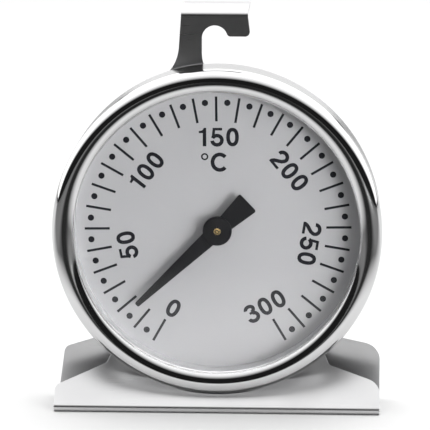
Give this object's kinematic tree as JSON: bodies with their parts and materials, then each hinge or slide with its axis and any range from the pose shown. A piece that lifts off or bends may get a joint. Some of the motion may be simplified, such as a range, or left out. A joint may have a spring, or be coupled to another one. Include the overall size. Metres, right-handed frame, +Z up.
{
  "type": "oven thermometer",
  "caption": "Round bimetal oven thermometer with a glass-fronted dial and turning pointer, on a folded sheet stand with a rack hook.",
  "frame": {"origin": "on the table under the dial's axis, at the middle of the stand's footprint", "axes": "+Z up, the dial faces -Y, +X to the right seen from the front"},
  "size_m": [0.06, 0.0244, 0.0732],
  "materials": {
    "stand_steel": "polished",
    "case_steel": "satin",
    "bezel_steel": "mirror polished",
    "rivet_steel": "satin",
    "ring_aluminium": "satin",
    "dial_face": "satin",
    "gasket_rubber": "matte",
    "lens_glass": "clear",
    "movement_brass": "satin",
    "coil_bimetal": "satin",
    "pointer_black": "matte black",
    "dial_ink": "printed ink"
  },
  "bodies": {
    "case": {"stand_bracket": "stand_steel", "case_cup": "case_steel", "bezel_ring": "bezel_steel", "case_rivets": "rivet_steel", "dial_seat_ring": "ring_aluminium", "dial_plate": "dial_face", "spacer_ring": "ring_aluminium", "lens_gasket": "gasket_rubber", "glass_lens": "lens_glass", "rear_bushing": "movement_brass", "movement_bridge": "movement_brass", "bridge_rivets": "rivet_steel", "front_bushing": "movement_brass", "anchor_stud": "movement_brass", "bimetal_coil": "coil_bimetal"},
    "pointer": {"coil_collet": "movement_brass", "arbor": "movement_brass", "rear_washer": "rivet_steel", "front_washer": "rivet_steel", "retaining_clip": "rivet_steel", "pointer_blade": "pointer_black", "pointer_hub": "pointer_black"}
  },
  "joints": [
    {"name": "pointer_turn", "type": "hinge", "parent": "case", "child": "pointer", "pos_m": [0, 0.0014, 0.0332], "axis": [0, 1, 0], "range_deg": [-16.5, 283.5], "stiffness_Nm_per_rad": 0.0005, "deforming": ["bimetal_coil"]}
  ]
}
